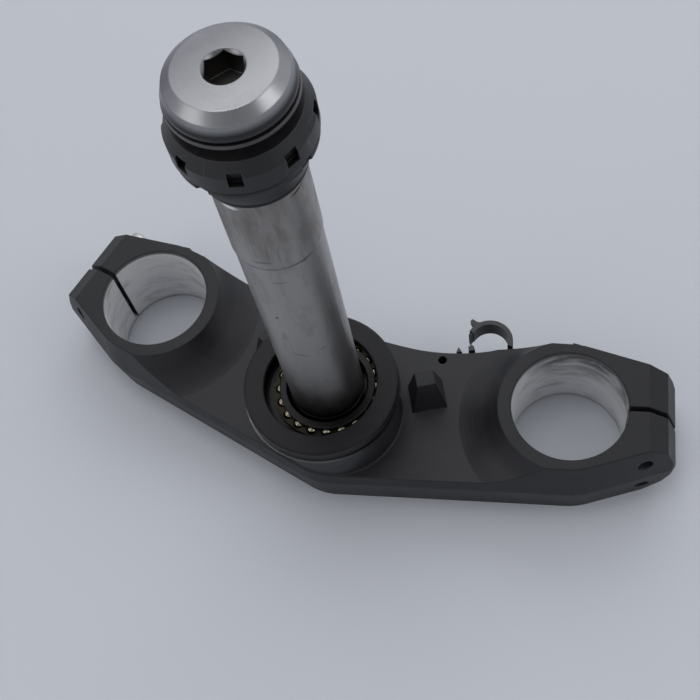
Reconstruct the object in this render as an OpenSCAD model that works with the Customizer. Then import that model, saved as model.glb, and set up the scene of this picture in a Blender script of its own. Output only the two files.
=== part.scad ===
// Lower triple clamp of a motorcycle fork, off the bike, with its steering stem, lower bearing,
// ring nuts and cap bolt. The origin is on the stem axis, level with the flat underside of the clamp.
// +X points along the fork line, +Y to the front wheel side, +Z up the stem. Sizes are in millimetres.

/* [Fork clamps] */
// Diameter of the two fork bores
fork_bore_d = 54; // [48:0.5:56]
// Distance between the two fork bores
fork_spacing = 216; // [206:1:226]
// Distance from the stem axis forward to the line of the fork bores
fork_offset = 28.5; // [24:0.5:32]
// Height of the fork clamps
clamp_h = 46; // [42:1:50]
// Wall of the ring round a fork bore, at its top
clamp_wall = 5; // [4:0.5:7]
// Angle by which the pinch lugs point forward
lug_angle = 13; // [8:1:16]
// Distance from the fork axis to the outer end of the pinch lug
lug_reach = 50; // [47:0.5:54]
// Half width of the outer end of the lug on its rear side
lug_rear_w = 19.4; // [17:0.2:22]
// Half width of the outer end of the lug on its front side
lug_front_w = 22.8; // [20:0.2:25]
// Width of the pinch slot
slot_w = 2.4; // [1.6:0.2:3.6]

/* [Arms] */
// Height of the flat top of the arms
arm_h = 30; // [26:1:33]
// Radius of the middle boss round the stem
boss_r = 32; // [30:0.5:34]
// Height of the top of the middle boss
boss_h = 55; // [50:1:58]
// Distance from the stem axis to the front edge of the arms
arm_front = 45; // [42:1:48]
// Radius of the concave front edge of each arm
front_curve_r = 100; // [85:5:120]
// Draft of the forged walls above the parting line, in degrees
upper_draft = 9; // [6:0.5:10]
// Draft of the forged walls below the parting line, in degrees
lower_draft = 7; // [4:0.5:9]
// Height of the parting line of the forging
parting_h = 23; // [20:1:25]
// Radius round the fork axis at which the arm begins to rise to the ring
rise_r = 52; // [46:1:56]

/* [Steering stops] */
// Distance from the stem axis to each steering stop
stop_r = 45.2; // [43:0.2:48]
// Angle of each stop from the fork line
stop_angle = 28; // [24:1:34]
// Height of the top of the stops
stop_h = 50; // [44:1:54]
// Width of the top of a stop, across the way it points
stop_w = 7.4; // [6:0.2:9]
// Length of the top of a stop
stop_l = 9; // [7:0.2:11]

/* [Stem] */
// Diameter of the stem between its bearings
stem_d = 34; // [32:0.2:35]
// Diameter of the two bearing seats of the stem
seat_d = 35; // [35:0.1:36]
// Bore of the stem, below the thread of the cap bolt
stem_bore_d = 26; // [24.5:0.5:27]
// Bore of the stem at its top, where the cap bolt screws in
cap_thread_d = 24; // [20:0.5:24]
// Height at which the upper bearing seat begins
upper_seat_z = 195; // [180:1:205]
// Height at which the lowest ring on the thread begins
stack_z = 236.5; // [228:0.5:244]
// Diameter of the thread at the top of the stem
thread_d = 33; // [31:0.5:34]

/* [Ring nuts and cap] */
// Height of the rubber ring under the nuts
ring_h = 4; // [3:0.5:5]
// Diameter of the rubber ring
ring_d = 37.4; // [36.6:0.2:40]
// Height of the adjusting nut
adjuster_h = 13.8; // [12:0.2:16]
// Diameter of the adjusting nut
adjuster_d = 49.2; // [47:0.2:50.4]
// Height of the lock nut
lock_h = 13.4; // [12:0.2:15]
// Diameter of the lock nut
lock_d = 50.4; // [49:0.2:54]
// Height of bare thread between the lock nut and the washer
bare_h = 6; // [5:0.5:9]
// Thickness of the washer under the cap bolt
washer_t = 1.5; // [1:0.1:2.2]
// Diameter of the washer under the cap bolt
washer_d = 44.4; // [43:0.2:46]
// Number of spanner slots in the lock nut
lock_slots = 8; // [6:1:10]
// Width and height of a spanner slot
spanner_slot = 5; // [4:0.5:6]
// Largest diameter of the cap bolt
cap_d = 43.4; // [42:0.2:46]
// Diameter of the flat top of the cap bolt
cap_top_d = 33.8; // [30:0.2:37]
// Height of the head of the cap bolt
cap_h = 10.2; // [9.6:0.2:12]
// Width across the flats of the socket in the cap bolt
socket_af = 12; // [10:1:14]
// Depth of that socket
socket_depth = 9; // [7:0.5:9]

/* [Lower bearing and seal] */
// Diameter of the bearing balls
ball_d = 4.76; // [4.4:0.02:4.9]
// Number of bearing balls
ball_count = 20; // [14:1:24]
// Radius of the circle on which the ball centres run
ball_track_r = 22.4; // [22.3:0.1:22.7]
// Clearance of the balls over the carrier ring
ball_clearance = 0.62; // [0.4:0.02:1]
// Thickness of the flange of the inner race, over its ball groove
race_flange = 1.85; // [1.4:0.05:3]
// Thickness of the steel carrier ring under the dust seal
carrier_t = 1.2; // [0.8:0.1:1.3]
// Outer diameter of the dust seal
seal_d = 72.6; // [70:0.2:76]
// Gap between the lip of the centred dust seal and the inner race
seal_lip_gap = 4.2; // [3.8:0.1:4.6]
// Thickness of the lip of the dust seal
seal_lip_t = 1.7; // [1.3:0.1:2.2]
// Clearance of that lip over the balls
seal_lip_lift = 0.32; // [0.3:0.02:1]

/* [Pinch bolts] */
// Thread diameter of the pinch bolts
bolt_d = 8; // [7:1:8]
// Distance from the fork axis to the pinch bolts
bolt_reach = 34.2; // [33.5:0.1:35.5]
// Angle of the pinch bolts to the face of the slot, away from square
bolt_tilt = 3; // [0:0.5:4]
// Height of the two pinch bolts above and below the middle of the clamp
bolt_rise = 11.5; // [9.5:0.5:12.5]
// Diameter of a pinch bolt head
head_d = 13; // [11:0.5:14]
// Height of a pinch bolt head
head_h = 8; // [6:0.5:9]

/* [Hose clip] */
// Outer radius of the hose clip
clip_r = 11.4; // [10:0.2:12]
// Thickness of its band
clip_t = 2.4; // [1.8:0.2:3]
// Height of its band
clip_h = 9.5; // [7:0.5:10]

/* [Hidden] */
$fn = 96;
// Steps of a round wall that hull() turns into facets
hull_fn = 64;
// Small overlap that keeps a cut clear of the face it starts from
cut = 1;
// Thickness of the thin slices that a drafted block is stretched over
slice = 0.4;
// Gap between parts that are screwed or pressed together
fit_gap = 0.05;
// Gap between the rolling parts of the bearing
roll_gap = 0.17;

// Middle of the concave front curve of the right arm, across from the stem axis
curve_x = 20;

fork_x = fork_spacing / 2;
fork_r = fork_bore_d / 2;
clamp_top_r = fork_r + clamp_wall;
top_inset = (clamp_h - parting_h) * tan(upper_draft);
foot_inset = parting_h * tan(lower_draft);
clamp_r = clamp_top_r + top_inset;
hub_r = boss_r + 1.8;

// Stack on the thread, from the rubber ring up
tab_t = 0.8;
adjuster_z = stack_z + ring_h;
tab_z = adjuster_z + adjuster_h;
lock_z = tab_z + tab_t;
lock_top_z = lock_z + lock_h;
stem_top_z = lock_top_z + bare_h;
cap_z = stem_top_z + washer_t;
cap_top_z = cap_z + cap_h;

// Lower bearing, from the carrier ring up
ball_lift = carrier_t + ball_clearance + ball_d / 2;
race_h = ball_lift + ball_d / 2 + roll_gap + race_flange;
race_foot_r = ball_track_r - 0.9;
cage_rim = 0.5;
cage_out_r = ball_track_r + ball_d / 2 + cage_rim;

// Loose seal and carrier ring, slipped to the left until the lip nearly meets the inner race
lip_rest_gap = 0.6;
seal_slip = seal_lip_gap - lip_rest_gap;
seal_lip_r = ball_track_r + seal_lip_gap;
rim_gap = 0.72;
seal_in_r = cage_out_r + seal_slip + rim_gap;
carrier_gap = 0.5;
carrier_in_r = race_foot_r + seal_slip + carrier_gap;
seal_top = ball_lift + ball_d / 2 + seal_lip_lift + seal_lip_t;

// Seat of the stem in the yoke
circlip_room_h = 6;
circlip_room_r = 22.5;
circlip_t = 1.5;
circlip_r = 20.5;
circlip_groove_depth = 1.2;
circlip_z = circlip_room_h - circlip_t;

// Draws what the two sides of the clamp share, once for each side
module both_sides() {
    children();
    mirror([1, 0, 0]) children();
}

// Places children in the frame of the right fork: X out along the lug, Z up
module at_fork() {
    translate([fork_x, fork_offset, 0]) rotate([0, 0, lug_angle]) children();
}

// One thin slice of the two arms and the middle, drawn in by inset
module arm_slice(z, inset) {
    translate([0, 0, z]) {
        cylinder(h = slice, r = hub_r - inset, $fn = hull_fn);
        both_sides() at_fork() cylinder(h = slice, r = clamp_r - inset, $fn = hull_fn);
    }
}

// Space beyond the fork bores, which the lugs fill
module beyond_forks() {
    past_axis = 4;
    both_sides() at_fork() translate([past_axis, -lug_reach, -cut])
        cube([2 * lug_reach, 2 * lug_reach, clamp_h + 2 * cut]);
}

// One thin slice of the fork clamp with its pinch lug
module clamp_slice(z, inset) {
    corner = 1.5;
    translate([0, 0, z]) {
        cylinder(h = slice, r = clamp_r - inset, $fn = hull_fn);
        linear_extrude(slice) polygon([
            [0, inset - lug_rear_w], [lug_reach - corner, inset - lug_rear_w - corner / 2],
            [lug_reach, inset - lug_rear_w + corner], [lug_reach, lug_front_w - inset - corner],
            [lug_reach - corner, lug_front_w - inset + corner / 2], [0, lug_front_w - inset]]);
    }
}

// Space over the flat of the arms, between the middle boss and the two rising rings
module arm_valley() {
    rise = clamp_h - arm_h;
    steps = 10;
    start_angle = 18;
    end_angle = 68;
    run = rise_r - clamp_top_r - 1.5;
    span = sin(end_angle) - sin(start_angle);
    fall = cos(start_angle) - cos(end_angle);
    curve = [for (i = [0:steps]) let (a = start_angle + (end_angle - start_angle) * i / steps)
        [rise_r - run * (sin(a) - sin(start_angle)) / span,
         arm_h + rise * (cos(start_angle) - cos(a)) / fall]];
    difference() {
        translate([-fork_x, -fork_x, arm_h]) cube([fork_spacing, fork_spacing, clamp_h]);
        both_sides() translate([fork_x, fork_offset, 0]) rotate_extrude()
            polygon(concat([[0, arm_h - cut], [rise_r, arm_h - cut]], curve,
                [[clamp_top_r, 3 * clamp_h], [0, 3 * clamp_h]]));
    }
}

// Space beyond a drafted wall that crosses the parting line at Y zero
module beyond_wall(w) {
    deep = 60;
    translate([-w / 2, 0, parting_h]) {
        rotate([upper_draft, 0, 0]) translate([0, 0, -parting_h]) cube([w, deep, 2 * deep]);
        rotate([-lower_draft, 0, 0]) translate([0, 0, -2 * deep + parting_h]) cube([w, deep, 2 * deep]);
    }
}

// Space in front of the arms: a straight middle, two concave curves and a straight run to each clamp
module arm_front_space() {
    tall = 50;
    run_angle = 12;
    run_w = 80;
    both_sides() {
        translate([curve_x, arm_front + front_curve_r, parting_h]) {
            cylinder(h = tall, r1 = front_curve_r, r2 = front_curve_r + tall * tan(upper_draft));
            mirror([0, 0, 1])
                cylinder(h = tall, r1 = front_curve_r, r2 = front_curve_r + tall * tan(lower_draft));
        }
        translate([fork_x, fork_offset, 0]) rotate([0, 0, run_angle])
            translate([-run_w / 2, clamp_r, 0]) beyond_wall(run_w);
    }
    translate([0, arm_front, 0]) beyond_wall(2 * curve_x);
}

// Middle boss that carries the lower bearing, with the fillet at its foot
module middle_boss() {
    fillet = 0.8;
    steps = 4;
    curve = [for (i = [0:steps]) let (a = 90 * i / steps)
        [boss_r + fillet * (1 - sin(a)), arm_h + fillet * (1 - cos(a))]];
    root_r = boss_r - foot_inset;
    rotate_extrude() polygon(concat([[0, 0], [root_r, 0], [root_r, arm_h - cut], [boss_r, arm_h - cut]],
        curve, [[boss_r, boss_h - edge_bevel], [boss_r - edge_bevel, boss_h], [0, boss_h]]));
}
edge_bevel = 1;

// One steering stop: a forged post with draft on all its sides
module steering_stop() {
    flare = 4;
    rotate([0, 0, stop_angle]) translate([stop_r, 0, 0]) hull() {
        translate([-stop_l / 2, -stop_w / 2, stop_h - slice]) cube([stop_l, stop_w, slice]);
        translate([-stop_l / 2 - flare, -stop_w / 2 - flare, arm_h - cut])
            cube([stop_l + 2 * flare, stop_w + 2 * flare, slice]);
    }
}

// Weight-saving pockets in the underside of an arm, with a rib between them
module underside_pockets() {
    end_wall = 3;
    rear_wall_near = 19;
    rear_wall_far = 35;
    front_wall_near = 7;
    front_wall_far = 3;
    pocket_depth = 18;
    rib = 6;
    near = boss_r + end_wall;
    far = fork_x - clamp_top_r - end_wall;
    middle = (near + far) / 2;
    difference() {
        translate([0, 0, -cut]) linear_extrude(pocket_depth + cut) polygon([
            [near, rear_wall_near - boss_r], [far, rear_wall_far - boss_r],
            [far, arm_front - front_wall_far], [near, arm_front - front_wall_near]]);
        translate([middle - rib / 2, -boss_r, -2 * cut]) cube([rib, 4 * boss_r, clamp_h]);
    }
}

// Places children on a pinch bolt's axis, pointing forward to its head
module at_bolt(z) {
    translate([bolt_reach, 0, z]) rotate([0, 0, bolt_tilt]) rotate([-90, 0, 0]) children();
}

// Holes of one pinch bolt: threaded behind the slot, clearance and a seat for the head in front
module pinch_bolt_hole(z) {
    seat_gap = 1.5;
    at_bolt(z) {
        translate([0, 0, -2 * lug_reach]) cylinder(h = 4 * lug_reach, d = core_d + 2 * fit_gap);
        cylinder(h = 2 * lug_reach, d = bolt_d + 0.6);
        translate([0, 0, head_seat]) cylinder(h = lug_reach, d = head_d + 2 * seat_gap);
    }
}
core_d = bolt_d - 1.1;
head_seat = 21.3;

// Slot, pinch holes and bevelled end of one lug, cut from the clamp
module lug_cuts() {
    bevel_back = 13.7;
    bevel_start = lug_reach - bevel_back;
    bevel_drop = 6.5;
    bevel_run = 8.9;
    translate([0, -slot_w / 2, -cut]) cube([2 * lug_reach, slot_w, clamp_h + 2 * cut]);
    for (side = [-1, 1]) pinch_bolt_hole(clamp_h / 2 + side * bolt_rise);
    for (end = [0, 1]) translate([0, 0, clamp_h / 2]) mirror([0, 0, end]) translate([0, 0, -clamp_h / 2])
        translate([0, lug_reach, 0]) rotate([90, 0, 0]) linear_extrude(2 * lug_reach) polygon([
            [bevel_start, clamp_h + cut], [bevel_start, clamp_h],
            [bevel_start + bevel_run, clamp_h - bevel_drop],
            [lug_reach, clamp_h / 2 + 2], [lug_reach + 4, clamp_h / 2 + 2], [lug_reach + 4, clamp_h + cut]]);
}

module yoke() color([0.17, 0.17, 0.19]) {
    guide_hole_d = 4.2;
    guide_hole_depth = 10;
    bore_edge = 0.6;
    difference() {
        union() {
            difference() {
                hull() {
                    arm_slice(0, foot_inset);
                    arm_slice(parting_h - slice / 2, 0);
                    arm_slice(clamp_h - slice, top_inset);
                }
                arm_valley();
                arm_front_space();
                beyond_forks();
            }
            middle_boss();
            both_sides() at_fork() hull() {
                clamp_slice(0, foot_inset);
                clamp_slice(parting_h - slice / 2, 0);
                clamp_slice(clamp_h - slice, top_inset);
            }
            both_sides() steering_stop();
        }
        both_sides() {
            translate([fork_x, fork_offset, -cut]) cylinder(h = clamp_h + 2 * cut, r = fork_r);
            for (z = [-cut, clamp_h - bore_edge]) translate([fork_x, fork_offset, z])
                cylinder(h = bore_edge + cut, r1 = z < 0 ? fork_r + bore_edge + cut : fork_r,
                    r2 = z < 0 ? fork_r : fork_r + bore_edge + cut);
            at_fork() lug_cuts();
            underside_pockets();
        }
        translate([0, 0, -cut]) cylinder(h = boss_h + 2 * cut, d = seat_d + 2 * fit_gap);
        translate([0, 0, -cut]) cylinder(h = circlip_room_h + cut, r = circlip_room_r);
        translate([guide_x, guide_y, arm_h - guide_hole_depth])
            cylinder(h = guide_hole_depth + cut, d = guide_hole_d);
        at_clip() {
            translate([clip_left, clip_back, clip_foot_z])
                cube([clip_right - clip_left, lug_reach, clip_foot_top - clip_foot_z + 2 * fit_gap]);
            clip_screw_hole();
        }
    }
}
guide_x = 41;
guide_y = arm_front - 3;

// Stem: pressed into the yoke, hollow, with a seat for each bearing and a threaded top
module steering_stem() color([0.62, 0.62, 0.64]) {
    seat_r = seat_d / 2;
    stem_r = stem_d / 2;
    thread_r = thread_d / 2;
    bore_r = stem_bore_d / 2;
    cap_thread_r = cap_thread_d / 2;
    groove_r = seat_r - circlip_groove_depth;
    edge = 1;
    lower_seat_top = boss_h + race_h - 0.4;
    bore_top = stack_z - 1;
    rotate_extrude() polygon([
        [bore_r, 0], [seat_r - edge, 0], [seat_r, edge], [seat_r, circlip_z], [groove_r, circlip_z],
        [groove_r, circlip_room_h], [seat_r, circlip_room_h], [seat_r, lower_seat_top],
        [stem_r, lower_seat_top + 0.4], [stem_r, upper_seat_z], [seat_r, upper_seat_z + 2],
        [seat_r, stack_z], [thread_r, stack_z + 1], [thread_r, stem_top_z - edge],
        [thread_r - edge, stem_top_z], [cap_thread_r, stem_top_z],
        [cap_thread_r, bore_top + bore_r - cap_thread_r], [bore_r, bore_top]]);
}

// Retaining ring in the groove at the foot of the stem
module stem_circlip() color([0.45, 0.45, 0.47]) {
    inner = seat_d / 2 - circlip_groove_depth + fit_gap;
    gap_w = 9;
    translate([0, 0, circlip_z + fit_gap]) difference() {
        cylinder(h = circlip_t - 2 * fit_gap, r = circlip_r);
        translate([0, 0, -cut]) cylinder(h = circlip_t + 2 * cut, r = inner);
        translate([-gap_w / 2, 0, -cut]) cube([gap_w, 2 * circlip_r, circlip_t + 2 * cut]);
    }
}

// Inner race, pressed on the lower seat, with its groove for the balls
module inner_race() color([0.20, 0.20, 0.21]) {
    top_z = boss_h + race_h;
    bore_r = seat_d / 2 + fit_gap;
    groove_r = ball_d / 2 + roll_gap;
    bevel = 0.4;
    mouth_r = bore_r + 1.7;
    mouth_h = 1.3;
    difference() {
        rotate_extrude() polygon([
            [bore_r, boss_h], [race_foot_r, boss_h], [race_foot_r, boss_h + ball_lift],
            [ball_track_r, boss_h + ball_lift], [ball_track_r, top_z - bevel],
            [ball_track_r - bevel, top_z], [mouth_r, top_z], [bore_r, top_z - mouth_h]]);
        translate([0, 0, boss_h + ball_lift]) rotate_extrude()
            translate([ball_track_r, 0]) circle(r = groove_r, $fn = 48);
    }
}

// Places children at each ball of the lower bearing
module at_each_ball() {
    for (i = [0:ball_count - 1]) rotate([0, 0, 360 * i / ball_count])
        translate([ball_track_r, 0, boss_h + ball_lift]) children();
}

// Flat comb cage whose pockets hold the balls from outside
module ball_cage() color([0.30, 0.26, 0.16]) {
    cage_t = 1.6;
    pocket_gap = 0.07;
    cage_in_r = ball_track_r - 1;
    difference() {
        translate([0, 0, boss_h + ball_lift - cage_t / 2]) difference() {
            cylinder(h = cage_t, r = cage_out_r);
            translate([0, 0, -cut]) cylinder(h = cage_t + 2 * cut, r = cage_in_r);
        }
        at_each_ball() translate([0, 0, -cage_t])
            cylinder(h = 2 * cage_t, r = ball_d / 2 + pocket_gap, $fn = 32);
    }
}

module bearing_balls() color([0.75, 0.74, 0.66]) {
    at_each_ball() sphere(d = ball_d, $fn = 32);
}

// Steel carrier ring that lies on the boss under the dust seal
module seal_carrier() color([0.55, 0.55, 0.57]) {
    carrier_rim = 0.7;
    translate([-seal_slip, 0, boss_h]) difference() {
        cylinder(h = carrier_t, r = seal_d / 2 + carrier_rim);
        translate([0, 0, -cut]) cylinder(h = carrier_t + 2 * cut, r = carrier_in_r);
    }
}

// Loose rubber dust seal: a thick rim with a thin lip over the balls
module dust_seal() color([0.16, 0.16, 0.16]) {
    out_r = seal_d / 2;
    bevel = 1;
    foot_bevel = 0.6;
    lip_edge = 0.5;
    lip_foot = seal_top - seal_lip_t;
    translate([-seal_slip, 0, boss_h]) rotate_extrude() polygon([
        [seal_in_r, carrier_t], [out_r - foot_bevel, carrier_t], [out_r, carrier_t + foot_bevel],
        [out_r, seal_top - bevel], [out_r - bevel, seal_top], [seal_lip_r + lip_edge, seal_top],
        [seal_lip_r, seal_top - lip_edge], [seal_lip_r, lip_foot], [seal_in_r, lip_foot]]);
}

// Rubber ring under the adjusting nut
module rubber_ring() color([0.13, 0.12, 0.13]) {
    inner = thread_d / 2 + fit_gap;
    edge = 0.6;
    translate([0, 0, stack_z + 1]) rotate_extrude() polygon([
        [inner, 0], [ring_d / 2 - edge, 0], [ring_d / 2, edge],
        [ring_d / 2, ring_h - 1], [inner, ring_h - 1]]);
}

// Slots for a hook spanner round a ring nut
module spanner_slots(count, outer_r, z, turn) {
    slot_depth = 2.4;
    for (i = [0:count - 1]) rotate([0, 0, turn + 360 * i / count])
        translate([outer_r - slot_depth, -spanner_slot / 2, z])
            cube([3 * slot_depth, spanner_slot, spanner_slot + cut]);
}

// Adjusting nut with a bowl-shaped underside
module adjusting_nut() color([0.14, 0.14, 0.15]) {
    edge = 0.8;
    out_r = adjuster_d / 2;
    bore_r = thread_d / 2 + fit_gap;
    foot_r = 19.2;
    rim_h = 3.8;
    turn = -103;
    difference() {
        rotate_extrude() polygon([
            [bore_r, adjuster_z], [foot_r, adjuster_z], [foot_r + 0.8, adjuster_z + 3],
            [out_r - 1.6, tab_z - rim_h], [out_r, tab_z - rim_h + 2 * edge], [out_r, tab_z - edge],
            [out_r - edge, tab_z], [bore_r, tab_z]]);
        spanner_slots(4, out_r, tab_z - spanner_slot, turn);
    }
}

module tab_washer() color([0.10, 0.10, 0.10]) {
    translate([0, 0, tab_z]) difference() {
        cylinder(h = tab_t, d = adjuster_d - 3);
        translate([0, 0, -cut]) cylinder(h = tab_t + 2 * cut, d = thread_d + 2 * fit_gap);
    }
}

// Lock nut with a sloping shoulder
module lock_nut() color([0.15, 0.15, 0.16]) {
    edge = 0.8;
    out_r = lock_d / 2;
    bore_r = thread_d / 2 + fit_gap;
    shoulder_h = 5;
    turn = -71;
    difference() {
        rotate_extrude() polygon([
            [bore_r, lock_z], [out_r - edge, lock_z], [out_r, lock_z + edge],
            [out_r, lock_top_z - shoulder_h], [out_r - 0.6 * shoulder_h, lock_top_z], [bore_r, lock_top_z]]);
        spanner_slots(lock_slots, out_r, lock_z + slot_lift, turn);
    }
}
slot_lift = 4;

module stem_washer() color([0.42, 0.40, 0.42]) {
    translate([0, 0, stem_top_z]) difference() {
        cylinder(h = washer_t, d = washer_d);
        translate([0, 0, -cut]) cylinder(h = washer_t + 2 * cut, d = shank_d + 1);
    }
}
shank_d = cap_thread_d - 2 * fit_gap;

// Cap bolt, screwed into the bore of the stem
module cap_bolt() color([0.80, 0.80, 0.82]) {
    shank_l = 34;
    edge = 0.8;
    out_r = cap_d / 2;
    shoulder_r = out_r - 1.4;
    socket_mouth = 0.6;
    socket_turn = 52;
    difference() {
        rotate_extrude() polygon([
            [0, cap_z - shank_l], [shank_d / 2 - edge, cap_z - shank_l],
            [shank_d / 2, cap_z - shank_l + edge], [shank_d / 2, cap_z], [out_r - 1.2, cap_z],
            [out_r, cap_z + 1.2], [out_r, cap_z + 2.6], [shoulder_r, cap_top_z - 3.2],
            [cap_top_d / 2, cap_top_z], [0, cap_top_z]]);
        translate([0, 0, cap_top_z - socket_depth]) rotate([0, 0, socket_turn])
            cylinder(h = socket_depth + cut, d = socket_af / cos(30), $fn = 6);
        translate([0, 0, cap_top_z - 2 * socket_mouth])
            cylinder(h = 2 * socket_mouth + cut, r1 = socket_af / 2,
                r2 = socket_af / 2 + 2 * socket_mouth + cut);
    }
}

// One pinch bolt along its own hole; its thread is drawn at the core diameter
module pinch_bolt(z) color([0.70, 0.70, 0.72]) {
    tip = 19;
    edge = 0.8;
    bolt_socket_af = 6;
    thread_top = slot_w;
    mirror([1, 0, 0]) at_fork() at_bolt(z) difference() {
        union() {
            translate([0, 0, -tip]) cylinder(h = tip + thread_top, d = core_d);
            translate([0, 0, thread_top]) cylinder(h = head_seat - thread_top, d = bolt_d);
            translate([0, 0, head_seat]) cylinder(h = head_h - edge, d = head_d);
            translate([0, 0, head_seat + head_h - edge])
                cylinder(h = edge, r1 = head_d / 2, r2 = head_d / 2 - edge);
        }
        translate([0, 0, head_seat + head_h - bolt_socket_af / 1.5])
            cylinder(h = bolt_socket_af, d = bolt_socket_af / cos(30), $fn = 6);
    }
}
module left_upper_pinch_bolt() pinch_bolt(clamp_h / 2 + bolt_rise);
module left_lower_pinch_bolt() pinch_bolt(clamp_h / 2 - bolt_rise);

// Foot of the hose clip, in its own frame: X along the wall of the right arm, Y away from it
clip_back = -0.7;
clip_face = 2.3;
clip_left = -17;
clip_right = 14;
clip_foot_z = 9;
clip_foot_top = 24;
clip_ring_x = 1.2;
clip_ring_y = 5;
clip_ring_z = 22;
clip_screw_z = 15.5;
clip_screw_d = 4;
clip_screw_l = 8;

// Places children where the hose clip is screwed to the concave front wall of the right arm
module at_clip() {
    clip_turn = 24.28;
    clip_sink = 0.927;
    translate([curve_x, arm_front + front_curve_r, 0]) rotate([0, 0, clip_turn])
        translate([0, -front_curve_r - clip_sink, 0]) children();
}

module clip_screw_hole() {
    translate([0, clip_back + cut, clip_screw_z]) rotate([90, 0, 0])
        cylinder(h = clip_screw_l + 2 * cut, d = clip_screw_d + 2 * fit_gap);
}

// Broken plastic clip: a foot plate, a curved band that ends in a break, a spur and two stubs
module hose_clip() color([0.09, 0.09, 0.10]) {
    band_start = -24;
    band_end = 144;
    band_in = clip_r - clip_t;
    at_clip() difference() {
        union() {
            translate([clip_left + fit_gap, clip_back, clip_foot_z + fit_gap])
                cube([clip_right - clip_left - 2 * fit_gap, clip_face - clip_back, clip_foot_top - clip_foot_z]);
            translate([clip_ring_x, clip_ring_y, clip_ring_z]) {
                rotate([0, 0, band_start]) rotate_extrude(angle = band_end - band_start)
                    translate([band_in, 0]) square([clip_t, clip_h]);
                rotate([0, 0, band_end - 3]) linear_extrude(clip_h - 1) polygon([
                    [band_in + 0.5, -1], [clip_r - 0.3, -1], [clip_r - 0.5, 2.2], [clip_r - 1.1, 1.4],
                    [band_in + 0.9, 3.4], [band_in + 0.4, 1.2]]);
                rotate([0, 0, 108]) translate([0, 0, clip_h - 5]) linear_extrude(4) polygon([
                    [clip_r - 1, -3], [clip_r + 1.2, 0.6], [clip_r + 4, 2.2], [clip_r + 3.2, 3.6], [clip_r - 1, 3.2]]);
            }
            translate([-8.2, 0, clip_foot_top - 3]) linear_extrude(9) polygon([
                [-1.6, 1.7], [1.6, 1.6], [1.3, 3.6], [0.2, 5.2], [-0.6, 4], [-1.4, 4.6]]);
            translate([-14.6, 0, clip_foot_top - 3]) linear_extrude(8) polygon([
                [-1.3, 2.22], [1.5, 2.1], [0.8, 3.6], [0.1, 5], [-0.7, 3.5]]);
        }
        translate([0, clip_face + cut, clip_screw_z]) rotate([90, 0, 0])
            cylinder(h = 3 * (clip_face - clip_back), d = clip_screw_d + 2 * fit_gap);
    }
}

module clip_screw() color([0.55, 0.55, 0.57]) {
    screw_head_d = 8;
    screw_head_h = 2.4;
    recess_d = 3;
    at_clip() translate([0, clip_face, clip_screw_z]) rotate([-90, 0, 0]) difference() {
        union() {
            cylinder(h = screw_head_h, d = screw_head_d);
            translate([0, 0, clip_back - clip_face - clip_screw_l + cut])
                cylinder(h = clip_screw_l + clip_face - clip_back, d = clip_screw_d);
        }
        translate([0, 0, screw_head_h / 2]) cylinder(h = screw_head_h, d = recess_d / cos(30), $fn = 6);
    }
}

yoke();
steering_stem();
stem_circlip();
inner_race();
ball_cage();
bearing_balls();
seal_carrier();
dust_seal();
rubber_ring();
adjusting_nut();
tab_washer();
lock_nut();
stem_washer();
cap_bolt();
left_upper_pinch_bolt();
left_lower_pinch_bolt();
hose_clip();
clip_screw();
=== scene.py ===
import math

import bmesh
import bpy
from mathutils import Matrix, Vector


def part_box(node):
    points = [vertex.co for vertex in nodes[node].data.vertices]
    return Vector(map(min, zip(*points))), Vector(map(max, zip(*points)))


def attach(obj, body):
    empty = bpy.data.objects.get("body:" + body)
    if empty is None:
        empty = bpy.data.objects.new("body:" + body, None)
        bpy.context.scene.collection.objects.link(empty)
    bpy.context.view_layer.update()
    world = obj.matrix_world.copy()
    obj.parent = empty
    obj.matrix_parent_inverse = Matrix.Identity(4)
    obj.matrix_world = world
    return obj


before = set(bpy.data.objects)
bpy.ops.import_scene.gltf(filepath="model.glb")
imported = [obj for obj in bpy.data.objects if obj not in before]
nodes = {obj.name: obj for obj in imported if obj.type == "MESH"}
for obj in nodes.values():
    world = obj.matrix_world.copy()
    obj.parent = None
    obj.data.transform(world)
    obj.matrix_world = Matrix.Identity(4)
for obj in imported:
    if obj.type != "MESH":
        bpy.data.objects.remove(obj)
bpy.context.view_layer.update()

# The view: a hand-held camera above and to the right of the part, looking down on it.
# Its place, turn and lens were worked out from the round rims in the photograph.
camera_place = (0.1474824, -0.2004350, 0.5577786)
camera_turn = (27.14285, 7.06794, 19.52641)
camera_lens_mm = 61.1866
sensor_mm = 36.0
nearest_seen = 0.01
farthest_seen = 20.0

view_data = bpy.data.cameras.new("workshop_view")
view_data.sensor_fit = "HORIZONTAL"
view_data.sensor_width = sensor_mm
view_data.lens = camera_lens_mm
view_data.clip_start = nearest_seen
view_data.clip_end = farthest_seen
workshop_view = bpy.data.objects.new("workshop_view", view_data)
workshop_view.location = camera_place
workshop_view.rotation_euler = [math.radians(a) for a in camera_turn]
bpy.context.scene.collection.objects.link(workshop_view)
bpy.context.scene.camera = workshop_view
bpy.context.scene.view_settings.view_transform = "Standard"

# The bench: one plain sheet of pale blue-grey laminate under the part.
# It is painted and matt, and carries the part's soft shadow.
bench_colour = (0.47, 0.485, 0.525)
bench_roughness = 0.6
bench_half_width = 6.0

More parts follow.
